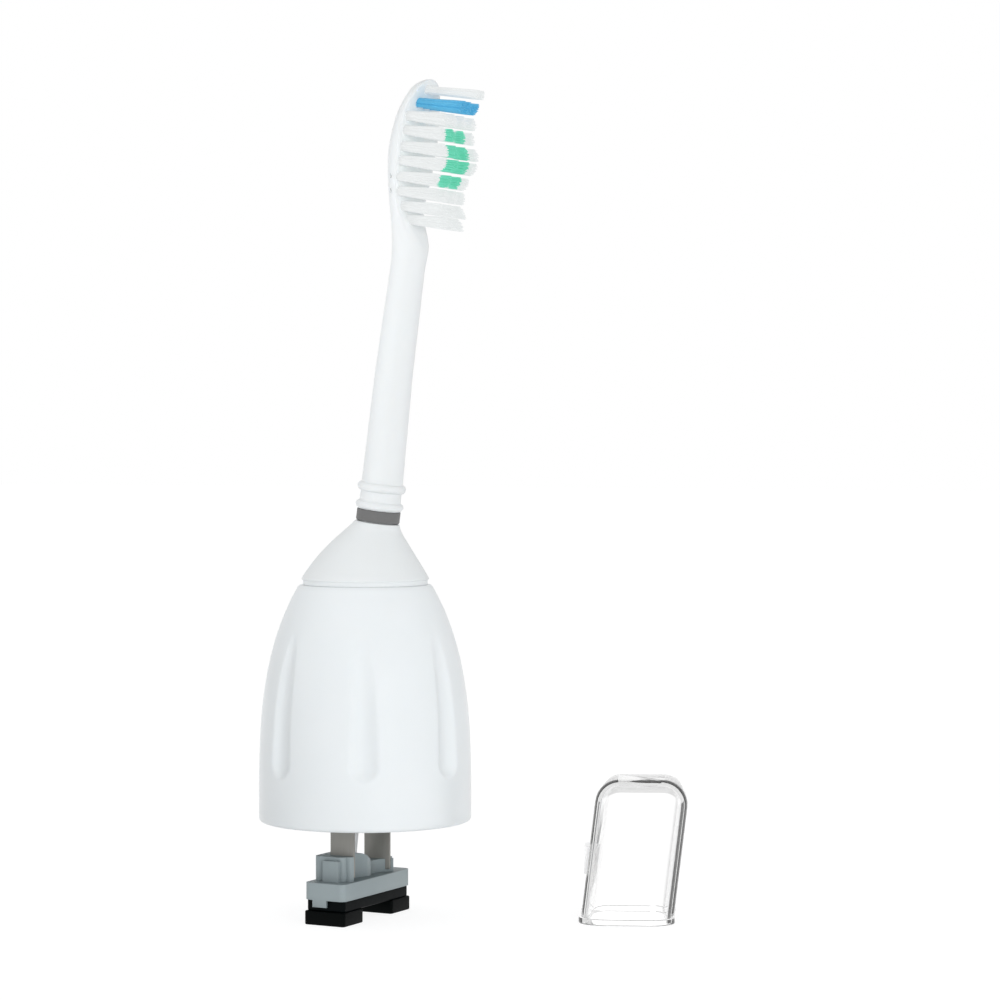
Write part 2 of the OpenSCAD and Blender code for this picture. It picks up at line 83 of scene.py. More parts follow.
to_right = Vector((math.cos(camera_azimuth), math.sin(camera_azimuth), 0))
to_camera = Vector((math.sin(camera_azimuth), -math.cos(camera_azimuth), 0))
camera = bpy.data.objects.new("camera", bpy.data.cameras.new("camera"))
camera.location = (
    to_camera * camera_far
    + to_right * (image_px / 2 - axis_px) / px_per_mm * mm
    + Vector((0, 0, (rim_px - horizon_px) / px_per_mm * mm))
)
camera.rotation_euler = (math.pi / 2, 0, camera_azimuth)
camera.data.sensor_width = sensor
camera.data.lens = sensor * px_per_mm * camera_far / mm / image_px
camera.data.shift_y = (horizon_px - image_px / 2) / image_px
camera.data.clip_start = 0.01
bpy.context.scene.collection.objects.link(camera)
bpy.context.scene.camera = camera
bpy.context.scene.view_settings.view_transform = "Standard"


# The surroundings. A white tent lights the head evenly from all sides. A large soft box, low
# down and a little to the right of the camera, gives the white plastic its form, and a small
# one on the left lights the edge of the neck.
def srgb(code):
    """The linear colour of an sRGB hex value."""
    parts = [int(code[i : i + 2], 16) / 255 for i in (1, 3, 5)]
    return [p / 12.92 if p <= 0.04045 else ((p + 0.055) / 1.055) ** 2.4 for p in parts] + [1]


def add(tree, kind, inputs=None, **settings):
    """Adds a shader node with its settings. An input is a plain value or another node's output."""
    made = tree.nodes.new("ShaderNode" + kind)
    for name, value in settings.items():
        setattr(made, name, value)
    for name, value in (inputs or {}).items():
        if isinstance(value, bpy.types.NodeSocket):
            tree.links.new(value, made.inputs[name])
        else:
            made.inputs[name].default_value = value
    return made


tent_light = 0.62
shine_light = 0.9
through_light = 1.3
side_light = 0.12
world = bpy.data.worlds.new("white tent")
world.use_nodes = True
world.node_tree.nodes.clear()
path = add(world.node_tree, "LightPath")


def behind(tree, direction):
    """White seen straight through a clear thing, and dark where it bends the view aside."""
    turned = add(tree, "VectorTransform", {0: direction}, vector_type="VECTOR", convert_from="WORLD",
                 convert_to="CAMERA")
    along = add(tree, "Math", {0: add(tree, "SeparateXYZ", {0: turned.outputs[0]}).outputs["Z"]},
                operation="ABSOLUTE")
    return add(tree, "MapRange", {"Value": along.outputs[0], "From Min": 0.8, "From Max": 0.96,
                                  "To Min": side_light, "To Max": through_light}).outputs[0]


view = add(world.node_tree, "TexCoord").outputs["Generated"]
clear = add(world.node_tree, "Mix", {0: path.outputs["Is Transmission Ray"], 2: tent_light,
                                     3: behind(world.node_tree, view)})
shine = add(world.node_tree, "Mix", {0: path.outputs["Is Glossy Ray"], 2: clear.outputs[0],
                                     3: shine_light})
strength = add(world.node_tree, "Mix", {0: path.outputs["Is Camera Ray"], 2: shine.outputs[0], 3: 1})
tent = add(world.node_tree, "Background", {"Color": srgb("#FFFFFF"), "Strength": strength.outputs[0]})
add(world.node_tree, "OutputWorld", {"Surface": tent.outputs[0]})
bpy.context.scene.world = world


def soft_box(name, turn_deg, away, height, aim, size, spread_deg, power):
    """A square soft box: its turn to the right of the camera, and its places and size in metres."""
    turn = camera_azimuth + math.radians(turn_deg)
    lamp = bpy.data.objects.new(name, bpy.data.lights.new(name, "AREA"))
    lamp.data.size = size
    lamp.data.spread = math.radians(spread_deg)
    lamp.data.energy = power
    lamp.location = Vector((math.sin(turn) * away, -math.cos(turn) * away, height))
    lamp.rotation_euler = (Vector((0, 0, aim)) - lamp.location).to_track_quat("-Z", "Y").to_euler()
    lamp.visible_camera = lamp.visible_glossy = False
    bpy.context.scene.collection.objects.link(lamp)


soft_box("front box", 20, 0.45, 0.06, 0.03, 0.2, 180, 0.92)
soft_box("head box", -80, 0.17, 0.08, 0.078, 0.05, 54, 0.0105)

floor_mesh = bmesh.new()
bmesh.ops.create_grid(floor_mesh, x_segments=1, y_segments=1, size=4)
bmesh.ops.translate(floor_mesh, vec=(0, 0, cad_box[0].z), verts=floor_mesh.verts)
floor = bpy.data.objects.new("floor", bpy.data.meshes.new("floor"))
floor_mesh.to_mesh(floor.data)
floor_mesh.free()
bpy.context.scene.collection.objects.link(floor)

# White paper. The camera sees mostly its glow, so the ground stays white, and the rest of its
# look is plain paper that takes the head's shadow.
floor_white = 0.72
floor_glow = 1.2
floor_paper = bpy.data.materials.new("floor paper")
floor_paper.use_nodes = True
tree = floor_paper.node_tree
tree.nodes.clear()
path = add(tree, "LightPath")
sight = add(tree, "NewGeometry").outputs["Incoming"]
seen = add(tree, "Math", {0: path.outputs["Is Camera Ray"], 1: floor_white,
                          2: path.outputs["Is Glossy Ray"]}, operation="MULTIPLY_ADD")
seen = add(tree, "Math", {0: seen.outputs[0], 1: path.outputs["Is Transmission Ray"]},
           operation="MAXIMUM")
bright = add(tree, "Mix", {0: path.outputs["Is Transmission Ray"], 2: floor_glow, 3: behind(tree, sight)})
paper = add(tree, "BsdfDiffuse", {"Color": srgb("#F4F5F6")})
glow = add(tree, "Emission", {"Color": srgb("#FFFFFF"), "Strength": bright.outputs[0]})
mixed = add(tree, "MixShader", {0: seen.outputs[0], 1: paper.outputs[0], 2: glow.outputs[0]})
add(tree, "OutputMaterial", {"Surface": mixed.outputs[0]})
floor.data.materials.append(floor_paper)


# The neck and head. One white moulding runs from the journal in the boot up to the
# tip, and it sweeps about its own leaning axis.
sweep = next(j for j in frame["joints"] if j["name"] == "head_sweep")
neck_axis = Vector(sweep["axis"])
neck_lean = math.atan2(neck_axis.x, neck_axis.z)
neck_frame = Matrix.Translation(sweep["pos_m"]) @ Matrix.Rotation(neck_lean, 4, "Y")
slots = {row["node"]: row["material_slot"] for row in frame["record"]["subparts"]}


def new_material(name):
    """An empty material, its node tree and its principled shader, already joined to the output."""
    made = bpy.data.materials.new(name)
    made.use_nodes = True
    made.node_tree.nodes.clear()
    shader = add(made.node_tree, "BsdfPrincipled")
    add(made.node_tree, "OutputMaterial", {"Surface": shader.outputs[0]})
    return made, made.node_tree, shader


def moulded(name, colour, shade, roughness, grain_mm, relief_mm, soft=0.0):
    """A moulded plastic: a slow drift between two colours, and a fine grain from the mould."""
    made, tree, shader = new_material(name)
    place = add(tree, "TexCoord").outputs["Object"]
    drift = add(tree, "TexNoise", {"Vector": place, "Scale": 1 / (9 * mm), "Detail": 2.0})
    tint = add(tree, "Mix", {0: drift.outputs[0], 6: srgb(shade), 7: srgb(colour)}, data_type="RGBA")
    grain = add(tree, "TexNoise", {"Vector": place, "Scale": 1 / (grain_mm * mm), "Detail": 3.0})
    gloss = add(tree, "MapRange", {"Value": grain.outputs[0], "To Min": roughness - 0.05,
                                   "To Max": roughness + 0.05})
    bump = add(tree, "Bump", {"Height": grain.outputs[0], "Distance": relief_mm * mm})
    shader.inputs["IOR"].default_value = 1.5
    shader.inputs["Subsurface Weight"].default_value = soft
    shader.inputs["Subsurface Radius"].default_value = (1.0, 0.9, 0.8)
    shader.inputs["Subsurface Scale"].default_value = 1.2 * mm
    tree.links.new(tint.outputs[2], shader.inputs["Base Color"])
    tree.links.new(gloss.outputs[0], shader.inputs["Roughness"])
    tree.links.new(bump.outputs[0], shader.inputs["Normal"])
    return made


def piece_from(bm, name, body, finish, sharp_deg=32):
    """Makes a piece of a finished bmesh: smooth, but sharp where faces meet steeply, on its body."""
    for face in bm.faces:
        face.smooth = True
    for edge in bm.edges:
        edge.smooth = len(edge.link_faces) == 2 and edge.calc_face_angle(0) < math.radians(sharp_deg)
    piece = bpy.data.objects.new(name, bpy.data.meshes.new(name))
    bm.to_mesh(piece.data)
    bm.free()
    piece.data.materials.append(finish)
    bpy.context.scene.collection.objects.link(piece)
    if body:
        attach(piece, body)
    return piece


def copy_of(node, merge_mm=0.002):
    """A bmesh of a solid's own mesh, with its loose triangles joined."""
    bm = bmesh.new()
    bm.from_mesh(frame["nodes"][node].data)
    bmesh.ops.remove_doubles(bm, verts=bm.verts, dist=merge_mm * mm)
    return bm


def eased(bm, width_mm, least_deg=40, segments=3):
    """Rounds the edges of a bmesh at which two faces meet steeply."""
    bmesh.ops.dissolve_limit(bm, angle_limit=math.radians(1), verts=bm.verts, edges=bm.edges)
    steep = [e for e in bm.edges if e.is_manifold and e.calc_face_angle(0) > math.radians(least_deg)]
    bmesh.ops.bevel(bm, geom=steep, offset=width_mm * mm, offset_type="OFFSET", segments=segments,
                    profile=0.5, affect="EDGES", material=-1, clamp_overlap=True)
    return bm


def held(value):
    """A value held between 0 and 1."""
    return min(max(value, 0), 1)


# In mm along the neck's own axis: the neck bows back a little between its foot and its head,
# and the back of the head curls forward at the tip.
bow_depth = 0.28
bow_start = 20
bow_len = 34
curl_rate = 0.075
curl_start = 64
curl_all_round = 70
curl_ease = 4
back_start = 0.66
back_ease = 1.5

# Polypropylene from a polished mould: pale, satin, and slightly see-through at its edges.
white_polypropylene = moulded("moulded polypropylene", "#EAECED", "#E6EAEB", 0.33, 0.25, 0.004,
                              soft=0.15)
to_neck = neck_frame.inverted()
moulding = copy_of("neck")
for v in moulding.verts:
    at = to_neck @ v.co / mm
    bow = -bow_depth * math.sin(math.pi * held((at.z - bow_start) / bow_len))
    back = held((-back_start - at.x) / back_ease)
    all_round = held((at.z - curl_all_round) / curl_ease)
    curl = curl_rate * max(0, at.z - curl_start) * max(back, all_round)
    v.co += neck_frame.to_3x3() @ Vector(((bow + curl) * mm, 0, 0))
neck = piece_from(moulding, "neck_and_head", "arm", white_polypropylene)
weighted = neck.modifiers.new("face normals", "WEIGHTED_NORMAL")
weighted.keep_sharp = True
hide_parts("neck")


# The tufts. Each is a bundle of nylon bristles, folded over a brass strip at the bottom
# of its hole and cut to length, and the bristles spread a little towards their tips.
bristle_d = 0.2
bristles_in_tuft = 56
bristle_sides = 6
bristle_spread = 0.97
bristle_fan = 1.12
tip_scatter = 0.12
# A mid grey base, lifted towards white by a painted glow of lighter grey.
undyed = "#A0A2A2"
undyed_painted_glow = "#B3B5B5"
# Slope of each row's trimmed end: how much longer its upper side is than its lower side
row_slopes = [0.1, 0.3, -0.2, -0.2, -0.35, 0.4, 0.4, -0.1, -0.6, -0.5]


def nylon(name, colour, shade, glow, dye_mm):
    """Nylon bristle: satin, with a painted glow: emission that stands in for the light passed on by its
    neighbours.

    Its dye starts between two distances out from the neck, and it is undyed at its root.
    """
    made, tree, shader = new_material(name)
    place = add(tree, "TexCoord").outputs["Object"]
    shift = add(tree, "TexNoise", {"Vector": place, "Scale": 1 / (0.35 * mm), "Detail": 1.0})
    tint = add(tree, "Mix", {0: shift.outputs[0], 6: srgb(colour), 7: srgb(shade)},
               data_type="RGBA")
    gloss = add(tree, "MapRange", {"Value": shift.outputs[0], "To Min": 0.28, "To Max": 0.42})
    outward = add(tree, "VectorMath", {0: place, 1: neck_frame.col[0].xyz}, operation="DOT_PRODUCT")
    dyed = add(tree, "MapRange", {"Value": outward.outputs["Value"], "From Min": dye_mm[0] * mm,
                                  "From Max": dye_mm[1] * mm})
    tint = add(tree, "Mix", {0: dyed.outputs[0], 6: srgb(undyed), 7: tint.outputs[2]}, data_type="RGBA")
    # Painted light: the emission colour, undyed grey or the dye's glow colour, brightens the bristles as if lit
    # through by their neighbours.
    shine = add(tree, "Mix", {0: dyed.outputs[0], 6: srgb(undyed_painted_glow), 7: srgb(glow)},
                data_type="RGBA")
    shader.inputs["IOR"].default_value = 1.53
    shader.inputs["Emission Strength"].default_value = 1
    tree.links.new(shine.outputs[2], shader.inputs["Emission Color"])
    tree.links.new(tint.outputs[2], shader.inputs["Base Color"])
    tree.links.new(gloss.outputs[0], shader.inputs["Roughness"])
    return made


# The third colour of each nylon is its painted glow.
bristle_nylon = {
    "white_bristle": nylon("natural nylon", undyed, "#A4A6A6", undyed_painted_glow, (0, 1)),
    "blue_bristle": nylon("blue nylon", "#408AB0", "#4F9ABC", "#36748E", (-7, -6)),
    "green_bristle": nylon("green nylon", "#4FAE92", "#63BCA2", "#4A8A78", (0.0, 0.5)),
}

bristle = bmesh.new()
bmesh.ops.create_cone(bristle, cap_ends=True, segments=bristle_sides, radius1=0.5, radius2=0.5, depth=1)
bmesh.ops.translate(bristle, vec=(0, 0, 0.5), verts=bristle.verts)
tip_edges = [e for e in bristle.edges if all(v.co.z > 0.9 for v in e.verts)]
bmesh.ops.bevel(bristle, geom=tip_edges, offset=0.2, offset_type="OFFSET", segments=1, profile=0.5,
                affect="EDGES", material=-1, clamp_overlap=True)
bristle_mesh = bpy.data.meshes.new("one bristle")
bristle.to_mesh(bristle_mesh)
bristle.free()

for node in sorted(n for n in frame["nodes"] if n.startswith("tuft_") and n != "tuft_anchors"):
    row = int(node.split("_")[1])
    placed = [to_neck @ v.co for v in frame["nodes"][node].data.vertices]
    low = Vector([min(p[i] for p in placed) for i in range(3)])
    high = Vector([max(p[i] for p in placed) for i in range(3)])
    middle = (low + high) / 2
    tip_r = (high.y - low.y) / 2
    root = [p for p in placed if p.x < low.x + 0.0001]
    root_r = (max(p.y for p in root) - min(p.y for p in root)) / 2
    rng = random.Random(node)
    tuft = bmesh.new()
    for i in range(bristles_in_tuft):
        out = math.sqrt((i + 0.5) / bristles_in_tuft)
        turn = i * math.pi * (3 - math.sqrt(5)) + rng.uniform(-0.2, 0.2)
        way = Vector((0, math.cos(turn), math.sin(turn))) * out
        start = Vector((low.x, middle.y, middle.z)) + way * (root_r - bristle_d * mm / 2)
        end = Vector((high.x, middle.y, middle.z)) + way * (tip_r * bristle_spread - bristle_d * mm / 2)
        end.z = middle.z + (end.z - middle.z) * bristle_fan
        end.x += row_slopes[row - 1] * (end.z - middle.z) - abs(row_slopes[row - 1]) * tip_r
        end.x -= rng.uniform(0, tip_scatter) * mm
        along = end - start
        pose = (
            neck_frame
            @ Matrix.Translation(start)
            @ along.to_track_quat("Z", "Y").to_matrix().to_4x4()
            @ Matrix.Diagonal((bristle_d * mm, bristle_d * mm, along.length, 1))
        )
        first = len(tuft.verts)
        tuft.from_mesh(bristle_mesh)
        tuft.verts.ensure_lookup_table()
        bmesh.ops.transform(tuft, matrix=pose, verts=tuft.verts[first:])
    piece = piece_from(tuft, node.replace("tuft", "bristles"), "arm",
                       bristle_nylon[slots[node]], sharp_deg=70)
    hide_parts(node)
bpy.data.meshes.remove(bristle_mesh)

# Brass strip, drawn and cut, with fine draw lines along it.
brass, tree, shader = new_material("drawn brass")
lines = add(tree, "TexWave", {"Vector": add(tree, "TexCoord").outputs["Object"], "Scale": 1 / (0.3 * mm)})
tint = add(tree, "Mix", {0: lines.outputs[1], 6: srgb("#A58C4F"), 7: srgb("#CDB77C")}, data_type="RGBA")
tree.links.new(tint.outputs[2], shader.inputs["Base Color"])
shader.inputs["Metallic"].default_value = 1
shader.inputs["Roughness"].default_value = 0.35

# The strips sit up in the folds of the bristles, the outer ones a little further in and the
# ones in the curled tip higher, so that none shows at the back of the head.
strip_lift = 0.45 * mm
strip_lift_tip = 0.8 * mm
strip_tip_start = 72 * mm
strip_inwards = 0.3 * mm
strip_outer_from = 2.8 * mm
strips = copy_of("tuft_anchors")
for v in strips.verts:
    at = to_neck @ v.co
    lift = strip_lift_tip if at.z > strip_tip_start else strip_lift
    inwards = -math.copysign(strip_inwards, at.y) if abs(at.y) > strip_outer_from else 0
    v.co += neck_frame.to_3x3() @ Vector((lift, inwards, 0))
anchors = piece_from(strips, "anchor_strips", "arm", brass)
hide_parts("tuft_anchors")


# The colour ring. A dark grey elastomer band, pushed on over the journal between the
# boot's lip and the neck's lower rib, that tells one user's head from another's.
grey_elastomer = moulded("moulded elastomer, dark grey", "#6E6E6E", "#666666", 0.55, 0.18, 0.01)
ring = piece_from(eased(copy_of("ident_ring"), 0.12), "colour_ring", "arm", grey_elastomer)
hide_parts("ident_ring")


# The boot. A soft white elastomer sleeve, moulded as a leaning cone: its skirt seats on
# the collar's hub and its lip hugs the journal and seals it.
boot_sides = 96
boot_height_shares = [0, 0.05, 0.1, 0.25, 0.4, 0.55, 0.7, 0.83, 0.93, 1]
boot_radius_shares = [1, 0.975, 0.94, 0.8, 0.655, 0.49, 0.315, 0.15, 0.045, 0]
boot_skew_power = 2
boot_low, boot_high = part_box("boot")
boot_r = boot_high.y
lip_r = 3.1 * mm
bore_r = 2.45 * mm
seat_r = 6.64 * mm
wall = 1.3 * mm
land_h = 0.5 * mm
land_r = boot_r - 0.22 * mm
land_gap = 0.02 * mm
skirt_z = boot_low.z + land_h
neck_foot = Vector(sweep["pos_m"])
lip_rise = boot_high.z - lip_r * math.sin(neck_lean) - skirt_z
land = -(land_h + 0.15 * mm - land_gap) / lip_rise


def boot_loop(bm, share, radius):
    """One edge loop of the boot: a circle that leans and moves over to the neck's axis."""
    bend = share**boot_skew_power
    rise = skirt_z + lip_rise * share
    over = (skirt_z + lip_rise - neck_foot.z) * math.tan(neck_lean) * bend
    made = bmesh.ops.create_circle(bm, cap_ends=False, segments=boot_sides, radius=radius)
    place = Matrix.Translation((over, 0, rise)) @ Matrix.Rotation(neck_lean * bend, 4, "Y")
    bmesh.ops.transform(bm, matrix=place, verts=made["verts"])
    return [e for e in bm.edges if e.verts[0] in made["verts"] and e.verts[1] in made["verts"]]


boot = bmesh.new()
stations = [
    (share, lip_r + (boot_r - lip_r) * radius)
    for share, radius in zip(boot_height_shares, boot_radius_shares)
]
edge = 0.12 * mm
outer = [(land, land_r - 0.1 * mm), (land, land_r - 0.01 * mm), (land + 0.002, land_r)]
outer += [(-0.01, land_r)]
outer += [(0, land_r + 0.06 * mm), (0.008, boot_r - 0.05 * mm), (0.025, boot_r)] + stations[1:-1]
outer += [(0.985, lip_r + 0.02 * mm), (0.998, lip_r - edge), (1, lip_r - 2 * edge)]
inner = [(1, bore_r), (0.86, bore_r), (0.85, bore_r + edge)]
inner += [(s, r - wall) for s, r in reversed(stations[3:7])] + [(0.2, seat_r), (land, seat_r)]
loops = [boot_loop(boot, share, radius) for share, radius in outer + inner]
for below, above in zip(loops, loops[1:] + loops[:1]):
    bmesh.ops.bridge_loops(boot, edges=below + above)
bmesh.ops.recalc_face_normals(boot, faces=boot.faces)

# Thermoplastic elastomer: white, soft to the eye, with a dull even sheen.
white_elastomer = moulded("moulded elastomer, white", "#EAEDEE", "#E6EAEB", 0.42, 0.3, 0.006, soft=0.1)
boot = piece_from(boot, "boot_sleeve", "base", white_elastomer, sharp_deg=50)
smoother = boot.modifiers.new("smooth sleeve", "SUBSURF")
smoother.levels = smoother.render_levels = 1
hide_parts("boot")


# The nut. A hollow bell, injection moulded in white, that turns between boot and collar:
# seven soft grip flutes outside and a coarse thread inside, to hold the head on its handle.
nut_low, nut_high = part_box("nut")
nut_r = nut_high.y
nut_h = nut_high.z
nut_top_r = 9.13 * mm
bell_power = 3.4
nut_wall = 1.8 * mm
nut_roof = 1.6 * mm
nut_hole_r = 6.9 * mm
thread_r = 12.1 * mm
thread_foot = 1.2 * mm
thread_h = 9.5 * mm
flute_n = 7
flute_turn = math.radians(-9)
flute_w = 4.2 * mm
flute_depth = 1.0 * mm
flute_foot = 6.7 * mm
flute_head = 26 * mm
flute_sag = 0.5 * mm
flute_softness = 0.09 * mm
spin_steps = 48 * flute_n


def bell_r(z):
    return nut_r - (nut_r - nut_top_r) * (z / nut_h) ** bell_power


bar_r = (flute_w**2 / 4 + flute_depth**2) / (2 * flute_depth)
bar_low = Vector((bell_r(flute_foot) - flute_depth + bar_r, flute_foot + flute_w / 2))
bar_high = Vector((bell_r(flute_head) + bar_r, flute_head))


def flute_cut(turn, z, r):
    """How deep the bent round bar of the nearest flute cuts at a point of the bell."""
    pitch = 2 * math.pi / flute_n
    off = (turn - flute_turn + pitch / 2) % pitch - pitch / 2
    along = (z - bar_low.y) / (bar_high.y - bar_low.y)
    on_bar = min(max(along, 0), 1.2)
    bar_x = bar_low.x + (bar_high.x - bar_low.x) * on_bar + flute_sag * 4 * on_bar * (1 - on_bar)
    below = min(0, z - bar_low.y)
    reach = bar_r**2 - (r * math.sin(off)) ** 2 - below**2
    if reach <= 0 or math.cos(off) <= 0:
        return 0
    deep = r * math.cos(off) - (bar_x - math.sqrt(reach))
    return (deep + math.sqrt(deep * deep + flute_softness**2)) / 2 if deep > -6 * flute_softness else 0


bell = bmesh.new()
heights = [0.25 + 0.25 * i for i in range(1, 128)]
profile = [(thread_r, thread_foot), (thread_r + 0.5 * mm, 0), (nut_r - 0.5 * mm, 0)]
profile += [(nut_r - 0.5 * mm * (1 - math.sin(a)), 0.5 * mm * (1 - math.cos(a)))
            for a in (math.radians(18 * i) for i in range(1, 6))]
profile += [(bell_r(h * mm), h * mm) for h in heights if 0.5 < h < nut_h / mm - 0.3]
profile += [(bell_r(nut_h) + 0.06 * mm, nut_h - 0.2 * mm),
            (bell_r(nut_h) - 0.05 * mm, nut_h - 0.05 * mm), (bell_r(nut_h) - 0.2 * mm, nut_h),
            (nut_hole_r, nut_h), (nut_hole_r, nut_h - nut_roof)]
profile += [(bell_r(z) - nut_wall, z) for z in ((nut_h - nut_roof) * i / 24 for i in range(24, 8, -1))]
profile += [(thread_r + 0.5 * mm, thread_h + 0.5 * mm), (thread_r, thread_h)]
wire = [bell.verts.new((r, 0, z)) for r, z in profile]
ring_edges = [bell.edges.new(pair) for pair in zip(wire, wire[1:] + wire[:1])]
bmesh.ops.spin(bell, geom=wire + ring_edges, cent=(0, 0, 0), axis=(0, 0, 1), angle=2 * math.pi,
               steps=spin_steps, use_merge=True)
bmesh.ops.recalc_face_normals(bell, faces=bell.faces)
for v in bell.verts:
    r = v.co.xy.length
    if r > bell_r(v.co.z) - 0.1 * mm and v.co.z > 2 * mm:
        cut = flute_cut(math.atan2(v.co.y, v.co.x), v.co.z, r)
        v.co.xy *= (r - cut) / r

# Female thread: a rounded ridge that winds three turns up the bore.
ridge = bmesh.new()
ridge_pitch = 2.4 * mm
ridge_turns = 3
ridge_steps = 96
ridge_rise = 0.55 * mm
ridge_profile = [(thread_r + 0.2 * mm, -0.6), (thread_r - ridge_rise * 0.8, -0.28),
                 (thread_r - ridge_rise, 0), (thread_r - ridge_rise * 0.8, 0.28),
                 (thread_r + 0.2 * mm, 0.6)]
wire = [ridge.verts.new((r, 0, thread_foot + 1.0 * mm + h * mm)) for r, h in ridge_profile]
start_face = ridge.faces.new(wire)
bmesh.ops.spin(ridge, geom=[start_face], cent=(0, 0, 0), axis=(0, 0, 1),
               dvec=(0, 0, ridge_pitch / ridge_steps), angle=2 * math.pi * ridge_turns,
               steps=ridge_steps * ridge_turns)
bmesh.ops.recalc_face_normals(ridge, faces=ridge.faces)
ridge_mesh = bpy.data.meshes.new("thread ridge")
ridge.to_mesh(ridge_mesh)
ridge.free()
bell.from_mesh(ridge_mesh)
bpy.data.meshes.remove(ridge_mesh)

# Acrylic-styrene plastic from a polished mould: a cool white with a soft gloss.
white_styrene = moulded("moulded styrene plastic", "#EDF1F3", "#E8EDEF", 0.3, 0.3, 0.003, soft=0.1)
nut = piece_from(bell, "fluted_nut", "nut", white_styrene, sharp_deg=40)
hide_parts("nut")


# The collar. A turned-looking moulding in pale grey acetal: its hub carries the boot, its
# flange holds the nut by the roof, and the block below grips the two leaf springs.
pale_acetal = moulded("moulded acetal", "#DADDDE", "#D2D6D8", 0.42, 0.25, 0.006)
collar = piece_from(eased(copy_of("collar"), 0.15), "spring_collar", "base",
                    pale_acetal)
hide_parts("collar")


# The leaf springs. Two strips of rolled spring steel, sheared to width and clamped in the
# collar above and in the carrier below, that bend and twist as the head sweeps.
spring_steel, tree, shader = new_material("rolled spring steel")
place = add(tree, "TexCoord").outputs["Object"]
stretched = add(tree, "Mapping", {"Vector": place, "Scale": (1, 1, 0.04)})
rolled = add(tree, "TexNoise", {"Vector": stretched.outputs[0], "Scale": 1 / (0.12 * mm), "Detail": 4.0})
tint = add(tree, "Mix", {0: rolled.outputs[0], 6: srgb("#8B8A85"), 7: srgb("#9A9994")}, data_type="RGBA")
gloss = add(tree, "MapRange", {"Value": rolled.outputs[0], "To Min": 0.38, "To Max": 0.52})
bump = add(tree, "Bump", {"Height": rolled.outputs[0], "Distance": 0.004 * mm})
shader.inputs["Metallic"].default_value = 0.3
tree.links.new(tint.outputs[2], shader.inputs["Base Color"])
tree.links.new(gloss.outputs[0], shader.inputs["Roughness"])
tree.links.new(bump.outputs[0], shader.inputs["Normal"])
for node in ("spring_left", "spring_right"):
    low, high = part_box(node)
    strip = eased(copy_of(node), 0.08, segments=2)
    for step in range(1, 24):
        height = low.z + (high.z - low.z) * step / 24
        bmesh.ops.bisect_plane(strip, geom=strip.verts[:] + strip.edges[:] + strip.faces[:],
                               plane_co=(0, 0, height), plane_no=(0, 0, 1))
    leaf = piece_from(strip, node.replace("spring", "leaf_spring"), None, spring_steel)
    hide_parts(node)
    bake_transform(leaf)


# The carrier. A grey glass-filled moulding, cast round the lower ends of the springs and
# the shank, with clips that hold the iron and the magnets under its plate.
grey_nylon = moulded("glass-filled nylon, grey", "#A3AEB0", "#8F9B9F", 0.45, 0.2, 0.012)

# Its inner corners take less light, so painted shade darkens them: an ambient occlusion mask mixes a dark blue
# grey into its colour there.
tree = grey_nylon.node_tree
shader = tree.nodes["Principled BSDF"]
tint = shader.inputs["Base Color"].links[0].from_socket
corner_shade_mask = add(tree, "AmbientOcclusion", {"Distance": 4 * mm}, samples=6)
unshaded_share = add(tree, "MapRange", {"Value": corner_shade_mask.outputs["AO"], "From Min": 0.35, "To Min": 0.3})
shade = add(tree, "Mix", {0: unshaded_share.outputs[0], 6: srgb("#39474B"), 7: tint}, data_type="RGBA")
tree.links.new(shade.outputs[2], shader.inputs["Base Color"])
carrier = piece_from(eased(copy_of("magnet_carrier"), 0.22), "carrier_block", "arm",
                     grey_nylon)
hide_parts("magnet_carrier")


# The iron and the magnets. A stamped steel plate closes the field of two block magnets,
# and all three have the same black coating.
def black_coat(name, colour, shade, roughness):
    """A baked black coating over metal, with the faint orange peel of its spray."""
    made, tree, shader = new_material(name)
    place = add(tree, "TexCoord").outputs["Object"]
    peel = add(tree, "TexNoise", {"Vector": place, "Scale": 1 / (0.4 * mm), "Detail": 2.0})
    gloss = add(tree, "MapRange", {"Value": peel.outputs[0], "To Min": roughness - 0.08,
                                   "To Max": roughness + 0.08})
    bump = add(tree, "Bump", {"Height": peel.outputs[0], "Distance": 0.01 * mm})
    tint = add(tree, "Mix", {0: peel.outputs[0], 6: srgb(colour), 7: srgb(shade)}, data_type="RGBA")
    shader.inputs["Specular IOR Level"].default_value = 0.05
    tree.links.new(tint.outputs[2], shader.inputs["Base Color"])
    tree.links.new(gloss.outputs[0], shader.inputs["Roughness"])
    tree.links.new(bump.outputs[0], shader.inputs["Normal"])
    return made


coated_iron = black_coat("blacked steel", "#020607", "#05090B", 0.5)
coated_magnet = black_coat("epoxy-coated magnet", "#010303", "#030606", 0.5)
for node, name, slot, finish in (
    ("back_iron", "iron_plate", "black_iron", coated_iron),
    ("magnet_left", "block_magnet_left", "black_magnet", coated_magnet),
    ("magnet_right", "block_magnet_right", "black_magnet", coated_magnet),
):
    block = piece_from(eased(copy_of(node), 0.18), name, "arm", finish)
    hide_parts(node)


# The travel cap. A clear thin-walled moulding that slips over the bristles, with a rolled
# rim and a clip on its back wall. It stands beside the head, open end down.
cap_reach = 36
cap_bearing = math.radians(26)
cap_floor = -13.4
cap_foot = Vector((cap_reach * math.cos(cap_bearing), cap_reach * math.sin(cap_bearing), cap_floor)) * mm
cap_turn = math.radians(23)
cap_lean = math.radians(7)
clip_middle = 8.2 * mm
clip_half = 2.05 * mm
clip_inner = 5.6 * mm
painted_clip_glow = 0.3
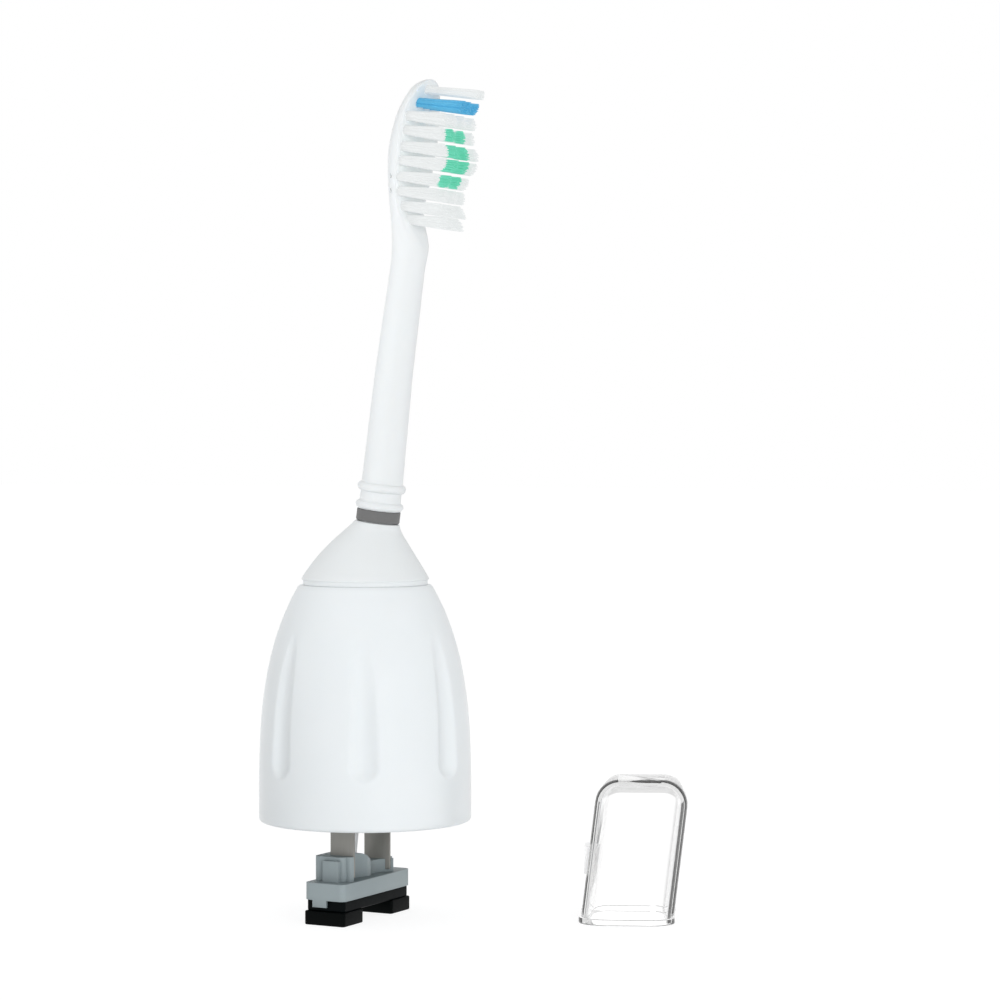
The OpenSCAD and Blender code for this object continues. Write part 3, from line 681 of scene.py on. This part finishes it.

# Polystyrene: clear, with a faint flow in its surface, greyer the longer the way through it, and frosted at the
# clip, where a painted glow lightens it.
clear_styrene, tree, shader = new_material("clear polystyrene")
place = add(tree, "TexCoord").outputs["Object"]
own = add(tree, "VectorMath", {0: place, 1: cap_foot}, operation="SUBTRACT").outputs[0]
outward = add(tree, "VectorMath", {0: own, 1: (-math.cos(cap_turn), -math.sin(cap_turn), math.tan(cap_lean))},
              operation="DOT_PRODUCT")
on_wall = add(tree, "Math", {0: outward.outputs["Value"], 1: clip_inner}, operation="GREATER_THAN")
height = add(tree, "SeparateXYZ", {0: own}).outputs["Z"]
at_clip = add(tree, "Math", {0: height, 1: clip_middle, 2: clip_half}, operation="COMPARE")
across = add(tree, "VectorMath", {0: own, 1: (-math.sin(cap_turn), math.cos(cap_turn), 0)},
             operation="DOT_PRODUCT")
in_clip = add(tree, "Math", {0: across.outputs["Value"], 1: 0, 2: clip_half}, operation="COMPARE")
frost = add(tree, "Math", {0: on_wall.outputs[0], 1: at_clip.outputs[0]}, operation="MULTIPLY")
frost = add(tree, "Math", {0: frost.outputs[0], 1: in_clip.outputs[0]}, operation="MULTIPLY")
see_through = add(tree, "MapRange", {"Value": frost.outputs[0], "To Min": 1, "To Max": 0})
# Painted light: the frosted clip glows by emission.
painted_clip_emission = add(tree, "Math", {0: frost.outputs[0], 1: painted_clip_glow}, operation="MULTIPLY")
tree.links.new(see_through.outputs[0], shader.inputs["Transmission Weight"])
tree.links.new(painted_clip_emission.outputs[0], shader.inputs["Emission Strength"])
flow = add(tree, "TexNoise", {"Vector": place, "Scale": 1 / (7 * mm), "Detail": 1.0})
gloss = add(tree, "MapRange", {"Value": flow.outputs[0], "To Min": 0.0, "To Max": 0.03})
bump = add(tree, "Bump", {"Height": flow.outputs[0], "Distance": 0.02 * mm, "Strength": 0.3})
shader.inputs["Base Color"].default_value = srgb("#FFFFFF")
shader.inputs["IOR"].default_value = 1.5
rough = add(tree, "Math", {0: frost.outputs[0], 1: 0.5, 2: gloss.outputs[0]}, operation="MULTIPLY_ADD")
grey = add(tree, "VolumeAbsorption", {"Color": srgb("#BCBCBC"), "Density": 0.16 / mm})
tree.links.new(rough.outputs[0], shader.inputs["Roughness"])
tree.links.new(bump.outputs[0], shader.inputs["Normal"])
tree.links.new(grey.outputs[0], tree.nodes["Material Output"].inputs["Volume"])
cap = piece_from(eased(copy_of("cap"), 0.25), "clear_cap", "base", clear_styrene)
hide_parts("cap")
